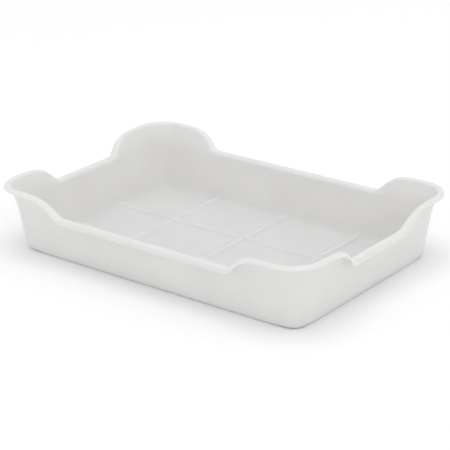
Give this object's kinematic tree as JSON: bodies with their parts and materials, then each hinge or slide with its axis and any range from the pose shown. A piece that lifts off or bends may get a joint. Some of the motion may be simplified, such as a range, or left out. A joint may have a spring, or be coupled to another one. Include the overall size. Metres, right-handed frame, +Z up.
{
  "type": "paint roller tray",
  "caption": "Shallow rectangular plastic tray with leaning walls, a rolled rim, a raised rounded lobe at each corner and low ribs across its floor; it holds paint for a roller.",
  "frame": {"origin": "middle of the underside, on the surface the tray rests on", "axes": "+X along the tray's length, +Y across it, +Z up out of its open top"},
  "size_m": [0.4256, 0.29, 0.0774],
  "materials": {
    "tray": "satin, natural white, slightly translucent"
  },
  "bodies": {
    "root": {"tray": "tray"}
  },
  "joints": []
}
